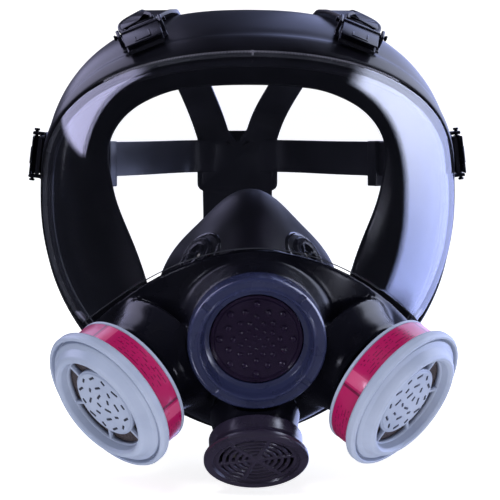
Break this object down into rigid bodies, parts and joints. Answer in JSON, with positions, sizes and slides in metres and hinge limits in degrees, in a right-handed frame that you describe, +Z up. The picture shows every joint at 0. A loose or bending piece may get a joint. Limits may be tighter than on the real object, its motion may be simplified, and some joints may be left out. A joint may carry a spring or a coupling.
{
  "type": "full face respirator",
  "caption": "Full face respirator with a wrap-round lens, rubber facepiece, nose cup, bayonet cartridges, speech and exhalation ports and a strap harness.",
  "frame": {"origin": "middle of the face opening, level with the seal's rear plane", "axes": "+Z up, +Y towards the back of the wearer's head, so the mask faces -Y, and +X towards the wearer's left side"},
  "size_m": [0.2384, 0.2946, 0.2439],
  "materials": {
    "black_rubber": "satin black rubber with a faint blue sheen",
    "clear_lens": "clear polished polycarbonate",
    "black_moulding": "glossy black moulding",
    "slate_moulding": "satin slate moulding",
    "grey_plastic": "satin light blue-grey moulding",
    "label_band": "glossy magenta printed band",
    "filter_medium": "fibrous grey-brown filter medium",
    "voice_film": "thin amber film",
    "valve_rubber": "soft grey silicone",
    "pin_steel": "polished steel wire"
  },
  "bodies": {
    "facepiece": {"buckle_base_jaw_left": "black_moulding", "buckle_base_jaw_right": "black_moulding", "buckle_base_temple_left": "black_moulding", "buckle_base_temple_right": "black_moulding", "buckle_base_top_left": "black_moulding", "buckle_base_top_right": "black_moulding", "buckle_pin_jaw_left": "pin_steel", "buckle_pin_jaw_right": "pin_steel", "buckle_pin_temple_left": "pin_steel", "buckle_pin_temple_right": "pin_steel", "buckle_pin_top_left": "pin_steel", "buckle_pin_top_right": "pin_steel", "cup_valve_seat_left": "black_moulding", "cup_valve_seat_right": "black_moulding", "exhalation_seat": "valve_rubber", "face_seal": "black_rubber", "front_housing": "black_moulding", "head_harness": "black_rubber", "inlet_connector_left": "black_moulding", "inlet_connector_right": "black_moulding", "inlet_gasket_left": "valve_rubber", "inlet_gasket_right": "valve_rubber", "lens": "clear_lens", "nose_cup": "black_rubber", "speech_cover": "slate_moulding", "speech_diaphragm": "voice_film", "speech_gasket": "valve_rubber"},
    "speech_ring": {"speech_ring": "slate_moulding"},
    "exhalation_cover": {"exhalation_cover": "black_moulding"},
    "exhalation_valve": {"exhalation_valve": "valve_rubber"},
    "cartridge_left": {"cartridge_cover_left": "grey_plastic", "cartridge_body_left": "grey_plastic", "cartridge_label_left": "label_band", "cartridge_filter_left": "filter_medium"},
    "inhalation_valve_left": {"inhalation_valve_left": "valve_rubber"},
    "cup_valve_left": {"cup_valve_left": "valve_rubber"},
    "buckle_lever_top_left": {"buckle_lever_top_left": "black_moulding"},
    "buckle_lever_temple_left": {"buckle_lever_temple_left": "black_moulding"},
    "buckle_lever_jaw_left": {"buckle_lever_jaw_left": "black_moulding"},
    "cartridge_right": {"cartridge_cover_right": "grey_plastic", "cartridge_body_right": "grey_plastic", "cartridge_label_right": "label_band", "cartridge_filter_right": "filter_medium"},
    "inhalation_valve_right": {"inhalation_valve_right": "valve_rubber"},
    "cup_valve_right": {"cup_valve_right": "valve_rubber"},
    "buckle_lever_top_right": {"buckle_lever_top_right": "black_moulding"},
    "buckle_lever_temple_right": {"buckle_lever_temple_right": "black_moulding"},
    "buckle_lever_jaw_right": {"buckle_lever_jaw_right": "black_moulding"}
  },
  "joints": [
    {"name": "speech_ring_twist", "type": "hinge", "parent": "facepiece", "child": "speech_ring", "pos_m": [0, -0.105, -0.042], "axis": [0, -0.9767, -0.2147], "range_deg": [0, 60]},
    {"name": "exhalation_cover_twist", "type": "hinge", "parent": "facepiece", "child": "exhalation_cover", "pos_m": [0, -0.095, -0.102], "axis": [0, -0.6652, -0.7466], "range_deg": [0, 30]},
    {"name": "exhalation_valve_lift", "type": "slide", "parent": "facepiece", "child": "exhalation_valve", "axis": [0, -0.6652, -0.7466], "range_m": [0, 0.0025], "stiffness_N_per_m": 20, "springref_m": -0.001},
    {"name": "cartridge_twist_left", "type": "hinge", "parent": "facepiece", "child": "cartridge_left", "pos_m": [0.075, -0.092, -0.072], "axis": [0.6694, -0.5693, -0.4773], "range_deg": [0, 45]},
    {"name": "inhalation_valve_lift_left", "type": "slide", "parent": "facepiece", "child": "inhalation_valve_left", "axis": [-0.6694, 0.5693, 0.4773], "range_m": [0, 0.0018], "stiffness_N_per_m": 20, "springref_m": -0.0005},
    {"name": "cup_valve_lift_left", "type": "slide", "parent": "facepiece", "child": "cup_valve_left", "axis": [-0.6876, 0.4714, -0.5522], "range_m": [0, 0.0015], "stiffness_N_per_m": 20, "springref_m": -0.0005},
    {"name": "buckle_lever_lift_top_left", "type": "hinge", "parent": "facepiece", "child": "buckle_lever_top_left", "pos_m": [0.05771, -0.02997, 0.11381], "axis": [-0.9287, 0, 0.3709], "range_deg": [0, 60]},
    {"name": "buckle_lever_lift_temple_left", "type": "hinge", "parent": "facepiece", "child": "buckle_lever_temple_left", "pos_m": [0.11574, 0.01443, 0.04703], "axis": [-0.1194, 0, 0.9928], "range_deg": [0, 60]},
    {"name": "buckle_lever_lift_jaw_left", "type": "hinge", "parent": "facepiece", "child": "buckle_lever_jaw_left", "pos_m": [0.08539, 0.00096, -0.06183], "axis": [0.6607, 0, 0.7506], "range_deg": [0, 60]},
    {"name": "cartridge_twist_right", "type": "hinge", "parent": "facepiece", "child": "cartridge_right", "pos_m": [-0.075, -0.092, -0.072], "axis": [-0.6694, -0.5693, -0.4773], "range_deg": [0, 45]},
    {"name": "inhalation_valve_lift_right", "type": "slide", "parent": "facepiece", "child": "inhalation_valve_right", "axis": [0.6694, 0.5693, 0.4773], "range_m": [0, 0.0018], "stiffness_N_per_m": 20, "springref_m": -0.0005},
    {"name": "cup_valve_lift_right", "type": "slide", "parent": "facepiece", "child": "cup_valve_right", "axis": [0.6876, 0.4714, -0.5522], "range_m": [0, 0.0015], "stiffness_N_per_m": 20, "springref_m": -0.0005},
    {"name": "buckle_lever_lift_top_right", "type": "hinge", "parent": "facepiece", "child": "buckle_lever_top_right", "pos_m": [-0.05771, -0.02997, 0.11381], "axis": [-0.9287, 0, -0.3709], "range_deg": [0, 60]},
    {"name": "buckle_lever_lift_temple_right", "type": "hinge", "parent": "facepiece", "child": "buckle_lever_temple_right", "pos_m": [-0.11574, 0.01443, 0.04703], "axis": [-0.1194, 0, -0.9928], "range_deg": [0, 60]},
    {"name": "buckle_lever_lift_jaw_right", "type": "hinge", "parent": "facepiece", "child": "buckle_lever_jaw_right", "pos_m": [-0.08539, 0.00096, -0.06183], "axis": [0.6607, 0, -0.7506], "range_deg": [0, 60]}
  ]
}
